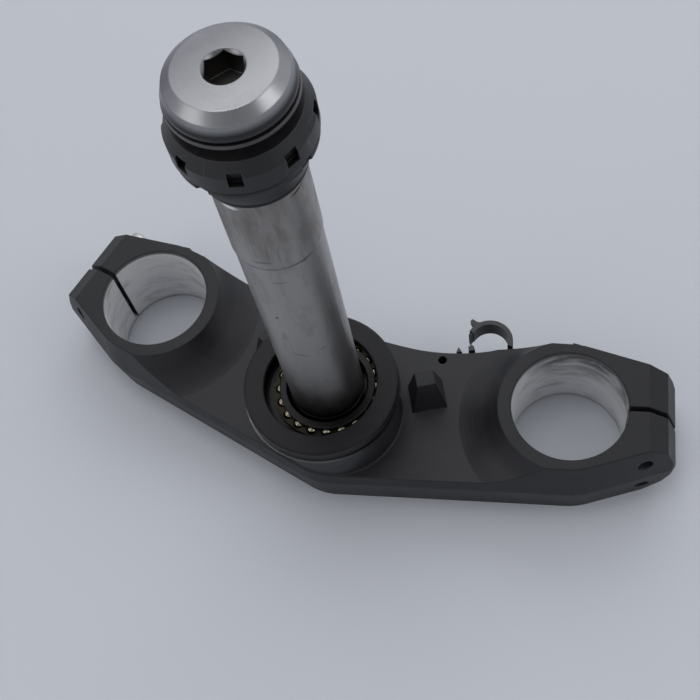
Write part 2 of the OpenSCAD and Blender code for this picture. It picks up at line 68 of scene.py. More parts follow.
bench_mesh = bpy.data.meshes.new("bench")
bench_shape = bmesh.new()
bmesh.ops.create_grid(bench_shape, x_segments=1, y_segments=1, size=bench_half_width)
bench_shape.to_mesh(bench_mesh)
bench_shape.free()
bench = bpy.data.objects.new("bench", bench_mesh)
bpy.context.scene.collection.objects.link(bench)
bench_paint = bpy.data.materials.new("bench_laminate")
bench_paint.use_nodes = True
bench_shader = bench_paint.node_tree.nodes["Principled BSDF"]
bench_shader.inputs["Base Color"].default_value = (*bench_colour, 1.0)
bench_shader.inputs["Roughness"].default_value = bench_roughness
bench_mesh.materials.append(bench_paint)

# Daylight of the room: a pale sky that is darker to the near right, a lamp overhead, a very
# broad window behind the part, and a soft box at each side that draws highlights on the metal.
room_level = 0.80
dark_side_level = 0.43
room_colour = (0.94, 0.96, 1.0)
dark_side = (0.419, -0.570, 0.707)
dark_side_reach = (0.50, 0.95)
window_light = (0.96, 0.98, 1.0)
cool_light = (0.97, 0.98, 1.0)
warm_light = (1.0, 0.99, 0.97)

room = bpy.data.worlds.new("room")
room.use_nodes = True
room_tree = room.node_tree
room_light = room_tree.nodes["Background"]
room_light.inputs["Color"].default_value = (*room_colour, 1.0)
room_way = room_tree.nodes.new("ShaderNodeTexCoord")
room_dot = room_tree.nodes.new("ShaderNodeVectorMath")
room_dot.operation = "DOT_PRODUCT"
room_dot.inputs[1].default_value = dark_side
room_tree.links.new(room_way.outputs["Generated"], room_dot.inputs[0])
room_fade = room_tree.nodes.new("ShaderNodeMapRange")
room_fade.interpolation_type = "SMOOTHSTEP"
room_fade.inputs["From Min"].default_value = dark_side_reach[0]
room_fade.inputs["From Max"].default_value = dark_side_reach[1]
room_fade.inputs["To Min"].default_value = room_level
room_fade.inputs["To Max"].default_value = dark_side_level
room_tree.links.new(room_dot.outputs["Value"], room_fade.inputs["Value"])
room_tree.links.new(room_fade.outputs["Result"], room_light.inputs["Strength"])
bpy.context.scene.world = room


def soft_box(name, place, aim, size, power, colour):
    """Hangs one rectangular lamp at place, turned to shine at aim."""
    lamp_data = bpy.data.lights.new(name, "AREA")
    lamp_data.shape = "RECTANGLE"
    lamp_data.size, lamp_data.size_y = size
    lamp_data.energy = power
    lamp_data.color = colour
    lamp = bpy.data.objects.new(name, lamp_data)
    lamp.location = place
    lamp.rotation_euler = (Vector(aim) - Vector(place)).to_track_quat("-Z", "Y").to_euler()
    bpy.context.scene.collection.objects.link(lamp)


soft_box("window_behind", place=(-0.5, 2.2, 1.9), aim=(0.0, 0.0, 0.1),
         size=(3.2, 2.0), power=20.0, colour=window_light)
soft_box("ceiling_lamp", place=(-0.4, 0.2, 2.4), aim=(0.0, 0.0, 0.0),
         size=(1.0, 1.0), power=8.5, colour=cool_light)
soft_box("soft_box_left", place=(-1.1, -1.08, 1.2), aim=(0.0, 0.0, 0.2),
         size=(0.9, 0.9), power=2.7, colour=warm_light)
soft_box("soft_box_right", place=(1.4, 0.12, 1.15), aim=(0.0, 0.0, 0.2),
         size=(0.8, 0.9), power=3.8, colour=cool_light)

# Lower yoke: a drop-forged aluminium bridge, black anodised all over,
# with its two fork bores bored bright afterwards. It stands on its flat underside.
MM = 0.001
fork_bore_x = 108.0 * MM
fork_bore_y = 28.5 * MM
fork_bore_r = 27.0 * MM
bore_skin_r = (fork_bore_r + 0.06 * MM, fork_bore_r + 0.16 * MM)
clamp_top_z = 46.0 * MM
# heights over which painted shade darkens the clamp tops
top_shade_z = (clamp_top_z - 10.0 * MM, clamp_top_z - 7.0 * MM)
parting_line_z = 23.0 * MM
parting_line_reach = (0.225 * MM, 0.75 * MM)
edge_shade_width = 1.7 * MM
bore_foot_z = (0.8 * MM, 3.5 * MM)
tube_soot_z = (clamp_top_z - 26.0 * MM, clamp_top_z - 5.0 * MM)
tube_soot_reach = (-2.0 * MM, 14.0 * MM)
tube_soot_lean = 0.55
rim_band_z = (clamp_top_z - 2.6 * MM, clamp_top_z - 1.6 * MM)
yoke_black = (0.0112, 0.0110, 0.0135)
yoke_faded = (0.0172, 0.0168, 0.0200)
yoke_rubbed = (0.042, 0.042, 0.048)
# painted shade for the parting groove
painted_groove_shade = (0.004, 0.004, 0.005)
shaded_black = (0.0055, 0.0055, 0.0068)
bored_metal = (0.66, 0.66, 0.67)
bored_grey = (0.33, 0.33, 0.335)
bored_black = (0.045, 0.045, 0.048)
bored_shine = 0.25
yoke_grain_share = 0.12


def add_node(tree, kind, values=None, **settings):
    """Adds one shader node, with its settings and the values of its inputs."""
    made = tree.nodes.new(kind)
    for key, value in settings.items():
        setattr(made, key, value)
    for key, value in (values or {}).items():
        made.inputs[key].default_value = value
    return made


def feed(tree, source, socket):
    """Feeds an input with another node's output, or sets it to a plain number or colour."""
    if isinstance(source, bpy.types.NodeSocket):
        tree.links.new(source, socket)
    elif isinstance(source, tuple):
        socket.default_value = (*source, 1.0)
    else:
        socket.default_value = source


def math_node(tree, operation, first, second=None):
    """One Math node. Its operands are numbers or other nodes' outputs."""
    made = add_node(tree, "ShaderNodeMath", operation=operation)
    feed(tree, first, made.inputs[0])
    if second is not None:
        feed(tree, second, made.inputs[1])
    return made.outputs[0]


def hypotenuse(tree, across, along):
    """How far a point lies from an axis, from its distances across and along."""
    squares = [math_node(tree, "MULTIPLY", side, side) for side in (across, along)]
    return math_node(tree, "SQRT", math_node(tree, "ADD", *squares))


def remap(tree, value, reach, levels=(0.0, 1.0)):
    """Spreads one range of a value over another, held at both ends."""
    made = add_node(tree, "ShaderNodeMapRange", {
        "From Min": reach[0], "From Max": reach[1], "To Min": levels[0], "To Max": levels[1]})
    tree.links.new(value, made.inputs["Value"])
    return made.outputs["Result"]


def blend_colours(tree, mask, under, over):
    """Mixes two colours, each a tuple or an output, by a mask."""
    made = add_node(tree, "ShaderNodeMix", data_type="RGBA")
    tree.links.new(mask, made.inputs["Factor"])
    for place, colour in (("A", under), ("B", over)):
        feed(tree, colour, [s for s in made.inputs if s.name == place and s.type == "RGBA"][0])
    return [s for s in made.outputs if s.type == "RGBA"][0]


def object_place(tree):
    """Where a point of the surface lies: as one vector, and as its X, Y and Z."""
    point = add_node(tree, "ShaderNodeTexCoord").outputs["Object"]
    split = add_node(tree, "ShaderNodeSeparateXYZ")
    tree.links.new(point, split.inputs["Vector"])
    return point, split.outputs


def stretched(tree, point, scale, turn=(0.0, 0.0, 0.0)):
    """Turns and stretches the place, for a pattern that runs one way."""
    made = add_node(tree, "ShaderNodeMapping", {"Rotation": turn, "Scale": scale})
    tree.links.new(point, made.inputs["Vector"])
    return made.outputs["Vector"]


def noise(tree, point, scale, detail, roughness=0.5):
    """A noise over a place. Its scale is a number or an output."""
    made = add_node(tree, "ShaderNodeTexNoise", {"Detail": detail, "Roughness": roughness})
    tree.links.new(point, made.inputs["Vector"])
    feed(tree, scale, made.inputs["Scale"])
    return made.outputs["Fac"]


def near_edge(tree, radius):
    """Rises from 0 within radius of an edge, where the rounded normal leaves the face's own."""
    rounded = add_node(tree, "ShaderNodeBevel", samples=6)
    feed(tree, radius, rounded.inputs["Radius"])
    face = add_node(tree, "ShaderNodeNewGeometry")
    likeness = add_node(tree, "ShaderNodeVectorMath", operation="DOT_PRODUCT")
    tree.links.new(rounded.outputs["Normal"], likeness.inputs[0])
    tree.links.new(face.outputs["Normal"], likeness.inputs[1])
    return math_node(tree, "SUBTRACT", 1.0, likeness.outputs["Value"])


def new_group(name, inputs, outputs):
    """An empty shader node group with named number inputs and outputs."""
    group = bpy.data.node_groups.new(name, "ShaderNodeTree")
    for label, value in inputs.items():
        socket = group.interface.new_socket(label, in_out="INPUT", socket_type="NodeSocketFloat")
        socket.default_value = value
    for label in outputs:
        group.interface.new_socket(label, in_out="OUTPUT", socket_type="NodeSocketFloat")
    entry = group.nodes.new("NodeGroupInput")
    leave = group.nodes.new("NodeGroupOutput")
    return group, entry.outputs, leave.inputs


def place_group(tree, group, **values):
    """Puts a node group into a material with its own values."""
    made = tree.nodes.new("ShaderNodeGroup")
    made.node_tree = group
    for key, value in values.items():
        made.inputs[key].default_value = value
    return made.outputs


# rubbed_edges: rises to 1 along edges that hands and tools rub, broken up by a coarse noise
rubbed_edges, edge_in, edge_out = new_group(
    "rubbed_edges", {"Width": 0.8 * MM, "Amount": 1.0, "Patches": 160.0}, ["Mask"])
edge_point = object_place(rubbed_edges)[0]
edge_strength = remap(rubbed_edges, near_edge(rubbed_edges, edge_in["Width"]), (0.01, 0.16))
edge_noise = noise(rubbed_edges, edge_point, edge_in["Patches"], detail=5.0, roughness=0.65)
edge_patches = remap(rubbed_edges, edge_noise, (0.38, 0.66))
edge_mask = math_node(rubbed_edges, "MULTIPLY", edge_strength, edge_patches)
edge_mask = math_node(rubbed_edges, "MULTIPLY", edge_mask, edge_in["Amount"])
rubbed_edges.links.new(edge_mask, edge_out["Mask"])

# fine_grain: the small even texture of a forged, moulded or blasted skin, and its broad tones
fine_grain, grain_in, grain_out = new_group("fine_grain", {"Size": 2400.0}, ["Height", "Tone"])
grain_point = object_place(fine_grain)[0]
grain_height = noise(fine_grain, grain_point, grain_in["Size"], detail=3.0, roughness=0.6)
grain_tone = noise(fine_grain, grain_point, scale=38.0, detail=5.0, roughness=0.62)
fine_grain.links.new(grain_height, grain_out["Height"])
fine_grain.links.new(remap(fine_grain, grain_tone, (0.3, 0.7)), grain_out["Tone"])

# hair_scratches: short thin lines in two crossing directions
hair_scratches, hair_in, hair_out = new_group(
    "hair_scratches", {"Density": 0.35, "Fineness": 1.0}, ["Mask"])
hair_point = object_place(hair_scratches)[0]
hair_lines = []
for turn, stretch in (((0.3, 0.9, 0.5), (1900.0, 60.0, 60.0)),
                      ((1.2, -0.4, 2.1), (60.0, 2100.0, 60.0))):
    hair_way = stretched(hair_scratches, hair_point, stretch, turn)
    hair_noise = noise(hair_scratches, hair_way, hair_in["Fineness"], detail=1.0)
    hair_lines.append(remap(hair_scratches, hair_noise, (0.70, 0.76)))
hair_mask = math_node(hair_scratches, "MAXIMUM", *hair_lines)
hair_mask = math_node(hair_scratches, "MULTIPLY", hair_mask, hair_in["Density"])
hair_scratches.links.new(hair_mask, hair_out["Mask"])


def start_finish(name, roughness, metallic, gloss=0.5):
    """A new material with its shader's plain values set on the shader itself."""
    finish = bpy.data.materials.new(name)
    finish.use_nodes = True
    shader = finish.node_tree.nodes["Principled BSDF"]
    shader.inputs["Roughness"].default_value = roughness
    shader.inputs["Metallic"].default_value = metallic
    shader.inputs["Specular IOR Level"].default_value = gloss
    return finish, finish.node_tree, shader


def bump_from(tree, shader, height, strength, depth, edge_radius):
    """Roughens the surface by a height, over edges that are rounded by edge_radius."""
    rounded = add_node(tree, "ShaderNodeBevel", {"Radius": edge_radius}, samples=6)
    bump = add_node(tree, "ShaderNodeBump", {"Strength": strength, "Distance": depth})
    tree.links.new(height, bump.inputs["Height"])
    tree.links.new(rounded.outputs["Normal"], bump.inputs["Normal"])
    tree.links.new(bump.outputs["Normal"], shader.inputs["Normal"])


def dress(name, finish):
    """Gives a CAD node its finish."""
    mesh = nodes[name].data
    mesh.materials.clear()
    mesh.materials.append(finish)


yoke_finish, yoke_tree, yoke_shader = start_finish(
    "black_anodised_forging", roughness=0.46, metallic=0.0, gloss=0.32)
yoke_point, yoke_xyz = object_place(yoke_tree)
yoke_grain = place_group(yoke_tree, fine_grain, Size=2600.0)
yoke_rub = place_group(yoke_tree, rubbed_edges, Width=0.6 * MM, Amount=0.5)["Mask"]
yoke_hairs = place_group(yoke_tree, hair_scratches, Density=0.25)["Mask"]
yoke_wear = math_node(yoke_tree, "MAXIMUM", yoke_rub, yoke_hairs)
yoke_colour = blend_colours(yoke_tree, yoke_grain["Tone"], yoke_black, yoke_faded)
yoke_colour = blend_colours(yoke_tree, yoke_wear, yoke_colour, yoke_rubbed)
# a hair-thin groove runs round the walls where the two forging dies met: the bump presses it in,
# and its dark line is painted shade
yoke_face = add_node(yoke_tree, "ShaderNodeNewGeometry")
face_xyz = add_node(yoke_tree, "ShaderNodeSeparateXYZ")
yoke_tree.links.new(yoke_face.outputs["Normal"], face_xyz.inputs["Vector"])
face_up = face_xyz.outputs["Z"]
face_level = math_node(yoke_tree, "ABSOLUTE", face_up)
from_line = math_node(yoke_tree, "SUBTRACT", yoke_xyz["Z"], parting_line_z)
from_line = math_node(yoke_tree, "ABSOLUTE", from_line)
on_line = remap(yoke_tree, from_line, parting_line_reach, (1.0, 0.0))
upright = remap(yoke_tree, face_level, (0.3, 0.4), (1.0, 0.0))
groove_and_shade = math_node(yoke_tree, "MULTIPLY", on_line, upright)
yoke_colour = blend_colours(yoke_tree, groove_and_shade, yoke_colour, painted_groove_shade)
# painted shade: the walls are painted darker in a narrow band along their edges
edge_band = remap(yoke_tree, near_edge(yoke_tree, edge_shade_width), (0.004, 0.05), (0.0, 0.85))
steep = remap(yoke_tree, face_level, (0.4, 0.6), (1.0, 0.0))
edge_shade = math_node(yoke_tree, "MULTIPLY", edge_band, steep)
yoke_colour = blend_colours(yoke_tree, edge_shade, yoke_colour, shaded_black)
# painted shade: the upward faces near the clamps' tops, the lugs' bevels among them, are painted a
# deeper black
near_top = remap(yoke_tree, yoke_xyz["Z"], top_shade_z, (0.0, 0.95))
painted_top_shade = math_node(yoke_tree, "MULTIPLY", near_top, remap(yoke_tree, face_up, (0.55, 0.8)))
yoke_colour = blend_colours(yoke_tree, painted_top_shade, yoke_colour, shaded_black)
# the fork bores are bare metal, with fitters' smudges round them, and darker towards their foot
side_x = math_node(yoke_tree, "ABSOLUTE", yoke_xyz["X"])
side_x = math_node(yoke_tree, "SUBTRACT", side_x, fork_bore_x)
side_y = math_node(yoke_tree, "SUBTRACT", yoke_xyz["Y"], fork_bore_y)
in_bore = remap(yoke_tree, hypotenuse(yoke_tree, side_x, side_y), bore_skin_r, (1.0, 0.0))
bore_point = stretched(yoke_tree, yoke_point, scale=(1.0, 1.0, 3.2))
smudge = noise(yoke_tree, bore_point, scale=55.0, detail=6.0, roughness=0.6)
smudges = remap(yoke_tree, smudge, (0.5, 0.72), (0.0, 0.8))
foot_darkening = remap(yoke_tree, yoke_xyz["Z"], bore_foot_z, (0.8, 0.0))
bore_smudges_and_foot = math_node(yoke_tree, "MAXIMUM", smudges, foot_darkening)
bore_colour = blend_colours(yoke_tree, bore_smudges_and_foot, bored_metal, bored_grey)
# black rubbed off the fork tubes lies on the right bore's far wall, and a dark band runs round just
# under both rims
tube_side = math_node(yoke_tree, "MULTIPLY", side_x, tube_soot_lean)
tube_side = math_node(yoke_tree, "ADD", tube_side, side_y)
tube_soot = math_node(yoke_tree, "GREATER_THAN", yoke_xyz["X"], 0.0)
for limit in (remap(yoke_tree, tube_side, tube_soot_reach),
              remap(yoke_tree, yoke_xyz["Z"], tube_soot_z, (0.0, 0.9)),
              remap(yoke_tree, smudge, (0.28, 0.52))):
    tube_soot = math_node(yoke_tree, "MULTIPLY", tube_soot, limit)
rim_band = remap(yoke_tree, yoke_xyz["Z"], rim_band_z, (0.0, 0.9))
bore_soot_and_band = math_node(yoke_tree, "MAXIMUM", tube_soot, rim_band)
bore_colour = blend_colours(yoke_tree, bore_soot_and_band, bore_colour, bored_black)
yoke_colour = blend_colours(yoke_tree, in_bore, yoke_colour, bore_colour)
bore_metallic = math_node(yoke_tree, "MULTIPLY", in_bore, bored_shine)
yoke_rough = remap(yoke_tree, yoke_grain["Tone"], (0.0, 1.0), (0.42, 0.56))
yoke_height = math_node(yoke_tree, "MULTIPLY", yoke_grain["Height"], yoke_grain_share)
yoke_height = math_node(yoke_tree, "SUBTRACT", yoke_height, groove_and_shade)
yoke_tree.links.new(yoke_colour, yoke_shader.inputs["Base Color"])
yoke_tree.links.new(bore_metallic, yoke_shader.inputs["Metallic"])
yoke_tree.links.new(yoke_rough, yoke_shader.inputs["Roughness"])
bump_from(yoke_tree, yoke_shader, yoke_height,
          strength=0.5, depth=0.15 * MM, edge_radius=1.1 * MM)
dress("yoke", yoke_finish)

# Steering stem: a turned aluminium tube pressed through the middle of the yoke.
# It is satin and rubbed along its length; towards the bearing it is painted darker, with painted
# shade and a painted reflection of the dark bearing.
stem_r = 17.0 * MM
# the next three ranges place painted shade and a painted reflection of the dark bearing on the
# stem's foot
low_shade_z = (62.0 * MM, 150.0 * MM)
foot_reflection_z = (66.0 * MM, 92.0 * MM)
step_shade_z = (64.5 * MM, 67.5 * MM)
under_nuts_z = (200.0 * MM, 214.0 * MM)
stem_clean = (0.315, 0.309, 0.303)
stem_dull = (0.146, 0.140, 0.132)
stem_scratched = (0.12, 0.118, 0.115)
foot_reflection_grey = (0.030, 0.029, 0.028)
step_shade_black = (0.007, 0.007, 0.007)
warm_smudge = (0.16, 0.145, 0.13)
red_brown = (0.085, 0.022, 0.014)
painted_stem_highlight = (0.80, 0.76, 0.72)
dark_scratch = (0.035, 0.034, 0.034)
scuff_grey = (0.13, 0.125, 0.118)

# turned_rings: fine marks of the lathe round the upright axis of the part
turned_rings, ring_in, ring_out = new_group("turned_rings", {"Fineness": 2200.0}, ["Height"])
ring_xyz = object_place(turned_rings)[1]
ring_place = hypotenuse(turned_rings, ring_xyz["X"], ring_xyz["Y"])
ring_place = math_node(turned_rings, "ADD", ring_place, ring_xyz["Z"])
ring_line = add_node(
    turned_rings, "ShaderNodeTexNoise", {"Detail": 4.0, "Roughness": 0.7}, noise_dimensions="1D")
turned_rings.links.new(ring_place, ring_line.inputs["W"])
turned_rings.links.new(ring_in["Fineness"], ring_line.inputs["Scale"])
turned_rings.links.new(ring_line.outputs["Fac"], ring_out["Height"])

stem_finish, stem_tree, stem_shader = start_finish("turned_stem", roughness=0.36, metallic=1.0)
stem_point, stem_xyz = object_place(stem_tree)
scuff_point = stretched(stem_tree, stem_point, scale=(2.0, 2.0, 0.55))
scuff = noise(stem_tree, scuff_point, scale=60.0, detail=7.0, roughness=0.66)
scuffs = remap(stem_tree, scuff, (0.5, 0.74), (0.0, 0.55))
# painted shade: the stem is painted darker towards the bottom
painted_low_shade = remap(stem_tree, stem_xyz["Z"], low_shade_z, (0.75, 0.0))
stem_scuffs_and_shade = math_node(stem_tree, "MAXIMUM", scuffs, painted_low_shade)
stem_hairs = place_group(stem_tree, hair_scratches, Density=0.5, Fineness=0.6)["Mask"]
stem_colour = blend_colours(stem_tree, stem_scuffs_and_shade, stem_clean, stem_dull)
stem_colour = blend_colours(stem_tree, stem_hairs, stem_colour, stem_scratched)
# a painted reflection of the dark bearing darkens the foot of the stem, and a ring of painted shade
# lies where it meets the race
painted_foot_reflection = remap(stem_tree, stem_xyz["Z"], foot_reflection_z, (0.8, 0.0))
stem_colour = blend_colours(stem_tree, painted_foot_reflection, stem_colour, foot_reflection_grey)
painted_step_shade = remap(stem_tree, stem_xyz["Z"], step_shade_z, (0.97, 0.0))
stem_colour = blend_colours(stem_tree, painted_step_shade, stem_colour, step_shade_black)
# warm smudges lie under the ring nuts
near_nuts = remap(stem_tree, stem_xyz["Z"], under_nuts_z)
nut_smudge = remap(stem_tree, scuff, (0.40, 0.62), (0.25, 0.8))
nut_smudge = math_node(stem_tree, "MULTIPLY", near_nuts, nut_smudge)
stem_colour = blend_colours(stem_tree, nut_smudge, stem_colour, warm_smudge)
stem_angle = math_node(stem_tree, "ARCTAN2", stem_xyz["Y"], stem_xyz["X"])


def stem_mark(under, angle, height, length, width, slope, colour, strength):
    """Adds one mark on the stem, an ellipse. Its angle is in degrees, its height and size in mm."""
    along = math_node(stem_tree, "SUBTRACT", stem_angle, math.radians(angle))
    along = math_node(stem_tree, "MULTIPLY", along, stem_r)
    rise = math_node(stem_tree, "SUBTRACT", stem_xyz["Z"], height * MM)
    rise = math_node(stem_tree, "SUBTRACT", rise, math_node(stem_tree, "MULTIPLY", along, slope))
    along = math_node(stem_tree, "DIVIDE", along, length / 2 * MM)
    rise = math_node(stem_tree, "DIVIDE", rise, width / 2 * MM)
    ellipse = remap(stem_tree, hypotenuse(stem_tree, along, rise), (0.55, 1.1), (strength, 0.0))
    return blend_colours(stem_tree, ellipse, under, colour)


# the marks that stand out, placed one by one: one red-brown, one painted highlight, then scuffs,
# scratches, specks
for mark in (
        (-17, 234.2, 6.6, 1.3, 0.14, red_brown, 1.0),
        # painted highlight on the stem just below the rubber ring
        (-100, 234.6, 7.0, 2.4, 0.0, painted_stem_highlight, 1.0),
        (-84, 201.0, 9.0, 1.5, 0.05, scuff_grey, 0.75),
        (-75, 196.0, 6.0, 1.4, 0.05, scuff_grey, 0.75),
        (-71, 186.0, 6.5, 1.0, 0.05, scuff_grey, 0.75),
        (-76, 127.2, 7.6, 0.7, -0.34, dark_scratch, 0.9),
        (-43, 129.0, 3.0, 0.7, 0.26, dark_scratch, 0.9),
        (-92, 158.0, 1.6, 1.6, 0.0, dark_scratch, 1.0),
        (-95, 110.0, 1.0, 1.0, 0.0, dark_scratch, 1.0),
        (-55, 100.7, 0.9, 0.9, 0.0, dark_scratch, 1.0),
        (18, 158.7, 1.4, 1.4, 0.0, dark_scratch, 1.0)):
    stem_colour = stem_mark(stem_colour, *mark)
stem_rough = remap(stem_tree, scuff, (0.3, 0.7), (0.30, 0.44))
stem_rings = place_group(stem_tree, turned_rings, Fineness=1500.0)["Height"]
stem_tree.links.new(stem_colour, stem_shader.inputs["Base Color"])
stem_tree.links.new(stem_rough, stem_shader.inputs["Roughness"])
bump_from(stem_tree, stem_shader, stem_rings,
          strength=0.25, depth=0.03 * MM, edge_radius=0.4 * MM)
dress("steering_stem", stem_finish)

# Threads: the fine thread left bare at the top of the stem, between the lock nut and the washer,
# and the two pinch bolt threads cut in the near half of the right clamp, whose bolts are missing.
thread_steps = 40
stem_thread_pitch = 1.0 * MM
stem_thread_root_r = 16.45 * MM
stem_thread_crest_r = 16.95 * MM
washer_gap = 1.0 * MM
pinch_angle = math.radians(13.0)
pinch_tilt = math.radians(3.0)
pinch_reach = 34.2 * MM
pinch_mid_z = 23.0 * MM
pinch_rise = 11.5 * MM
pinch_pitch = 1.25 * MM
pinch_core_r = 3.5 * MM
pinch_root_r = pinch_core_r + 0.05 * MM
pinch_crest_r = pinch_core_r - 0.45 * MM
slot_half = 1.2 * MM
slot_gap = 1.0 * MM
mouth_gap = 0.8 * MM
mouth_wall_r = 1.4 * pinch_core_r
look_from = -60.0 * MM


def wound_thread(name, root_r, crest_r, pitch, turns, place):
    """Winds one closed ridge round the Z axis and carries it to its place."""
    root_half = 0.44 * pitch
    crest_half = 0.06 * pitch
    shape = bmesh.new()
    profile = [shape.verts.new(p) for p in (
        (root_r, 0.0, -root_half), (crest_r, 0.0, -crest_half),
        (crest_r, 0.0, crest_half), (root_r, 0.0, root_half))]
    first = shape.faces.new(profile)
    steps = int(turns * thread_steps)
    bmesh.ops.spin(shape, geom=[first], cent=(0.0, 0.0, 0.0), axis=(0.0, 0.0, 1.0),
                   dvec=(0.0, 0.0, pitch * turns / steps), angle=turns * math.tau, steps=steps)
    bmesh.ops.recalc_face_normals(shape, faces=shape.faces)
    bmesh.ops.transform(shape, matrix=place, verts=shape.verts)
    mesh = bpy.data.meshes.new(name)
    shape.to_mesh(mesh)
    shape.free()
    piece = bpy.data.objects.new(name, mesh)
    bpy.context.scene.collection.objects.link(piece)
    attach(piece, "clamp")
    return piece


bare_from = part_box("lock_nut")[1][2] + 0.5 * stem_thread_pitch
bare_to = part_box("stem_washer")[0][2] - washer_gap
bare_turns = (bare_to - bare_from) / stem_thread_pitch
stem_thread = wound_thread(
    "stem_thread", stem_thread_root_r, stem_thread_crest_r, stem_thread_pitch,
    bare_turns, Matrix.Translation((0.0, 0.0, bare_from)))
stem_thread.data.materials.append(stem_finish)

# each pinch thread starts just inside its mouth, where the wall round the hole is met
lug_place = Matrix.Translation((fork_bore_x, fork_bore_y, 0.0))
lug_turn = lug_place @ Matrix.Rotation(pinch_angle, 4, "Z")
bolt_turn = Matrix.Rotation(pinch_tilt, 4, "Z") @ Matrix.Rotation(math.radians(-90.0), 4, "X")
for label, rise in (("upper", pinch_rise), ("lower", -pinch_rise)):
    bolt_axis = lug_turn @ Matrix.Translation((pinch_reach, 0.0, pinch_mid_z + rise)) @ bolt_turn
    inward = bolt_axis.to_3x3() @ Vector((0.0, 0.0, 1.0))
    mouth = []
    for across, along in ((1.0, 0.0), (-1.0, 0.0), (0.0, 1.0), (0.0, -1.0)):
        outside = bolt_axis @ Vector((across * mouth_wall_r, along * mouth_wall_r, look_from))
        met, spot, _, _ = nodes["yoke"].ray_cast(outside, inward)
        mouth.append((bolt_axis.inverted() @ spot).z if met else -pinch_reach)
    thread_from = max(mouth) + mouth_gap
    pinch_turns = (-slot_half - slot_gap - thread_from) / pinch_pitch
    pinch_thread = wound_thread(
        "right_%s_pinch_thread" % label, pinch_root_r, pinch_crest_r, pinch_pitch,
        pinch_turns, bolt_axis @ Matrix.Translation((0.0, 0.0, thread_from)))
    pinch_thread.data.materials.append(yoke_finish)

# Lower bearing: an inner race pressed on the stem, twenty steel balls in a pressed cage.
# All of it is wet with old yellow-brown grease.
# place of the painted highlight at the mouth of the race
race_highlight_angle = math.radians(16.0)
race_highlight_turn = (0.10, 0.34)
race_highlight_r = (18.3 * MM, 18.7 * MM)
race_greased = (0.026, 0.0255, 0.0265)
race_black = (0.013, 0.0125, 0.0125)
race_highlight_colour = (0.62, 0.62, 0.60)
ball_bright = (0.42, 0.40, 0.30)
ball_greased = (0.07, 0.058, 0.026)
cage_black = (0.010, 0.009, 0.006)
cage_greased = (0.026, 0.021, 0.011)

race_finish, race_tree, race_shader = start_finish(
    "greasy_ground_steel", roughness=0.40, metallic=1.0)
race_grain = place_group(race_tree, fine_grain, Size=900.0)
race_colour = blend_colours(race_tree, race_grain["Tone"], race_greased, race_black)
# painted highlight: the mouth of the race is painted bright for a short way on the right of the
# stem
race_xyz = object_place(race_tree)[1]
race_angle = math_node(race_tree, "ARCTAN2", race_xyz["Y"], race_xyz["X"])
from_highlight = math_node(race_tree, "SUBTRACT", race_angle, race_highlight_angle)
from_highlight = math_node(race_tree, "ABSOLUTE", from_highlight)
race_far = hypotenuse(race_tree, race_xyz["X"], race_xyz["Y"])
painted_race_highlight = remap(race_tree, from_highlight, race_highlight_turn, (1.0, 0.0))
race_mouth = remap(race_tree, race_far, race_highlight_r, (1.0, 0.0))
painted_race_highlight = math_node(race_tree, "MULTIPLY", painted_race_highlight, race_mouth)
race_colour = blend_colours(race_tree, painted_race_highlight, race_colour, race_highlight_colour)
race_rings = place_group(race_tree, turned_rings, Fineness=2600.0)["Height"]
race_tree.links.new(race_colour, race_shader.inputs["Base Color"])
bump_from(race_tree, race_shader, race_rings,
          strength=0.2, depth=0.02 * MM, edge_radius=0.3 * MM)
dress("inner_race", race_finish)

ball_finish, ball_tree, ball_shader = start_finish(
    "greasy_bearing_balls", roughness=0.14, metallic=1.0)
ball_grain = place_group(ball_tree, fine_grain, Size=700.0)["Height"]
ball_colour = blend_colours(ball_tree, ball_grain, ball_bright, ball_greased)
ball_tree.links.new(ball_colour, ball_shader.inputs["Base Color"])
bump_from(ball_tree, ball_shader, ball_grain,
          strength=0.3, depth=0.08 * MM, edge_radius=0.1 * MM)
dress("bearing_balls", ball_finish)

cage_finish, cage_tree, cage_shader = start_finish(
    "greasy_pressed_cage", roughness=0.44, metallic=0.6, gloss=0.2)
cage_grain = place_group(cage_tree, fine_grain, Size=500.0)["Height"]
cage_colour = blend_colours(cage_tree, cage_grain, cage_black, cage_greased)
cage_tree.links.new(cage_colour, cage_shader.inputs["Base Color"])
bump_from(cage_tree, cage_shader, cage_grain,
          strength=0.5, depth=0.15 * MM, edge_radius=0.2 * MM)
dress("ball_cage", cage_finish)

# Dust seal of the bearing, and the rubber ring under the nuts: moulded rings of black rubber.
# The seal has a thin lip. It lies loose on the boss and has slipped to one side.
rubber_black = (0.0052, 0.0050, 0.0062)
rubber_faded = (0.0095, 0.0092, 0.0104)
rubber_rubbed = (0.026, 0.026, 0.029)

rubber_finish, rubber_tree, rubber_shader = start_finish(
    "black_moulded_rubber", roughness=0.55, metallic=0.0, gloss=0.22)
rubber_grain = place_group(rubber_tree, fine_grain, Size=1800.0)
rubber_rub = place_group(rubber_tree, rubbed_edges, Width=0.6 * MM, Amount=0.7)["Mask"]
rubber_colour = blend_colours(rubber_tree, rubber_grain["Tone"], rubber_black, rubber_faded)
rubber_colour = blend_colours(rubber_tree, rubber_rub, rubber_colour, rubber_rubbed)
rubber_rough = remap(rubber_tree, rubber_grain["Tone"], (0.0, 1.0), (0.42, 0.6))
rubber_tree.links.new(rubber_colour, rubber_shader.inputs["Base Color"])
rubber_tree.links.new(rubber_rough, rubber_shader.inputs["Roughness"])
bump_from(rubber_tree, rubber_shader, rubber_grain["Height"],
          strength=0.4, depth=0.06 * MM, edge_radius=0.7 * MM)
dress("dust_seal", rubber_finish)
dress("rubber_ring", rubber_finish)

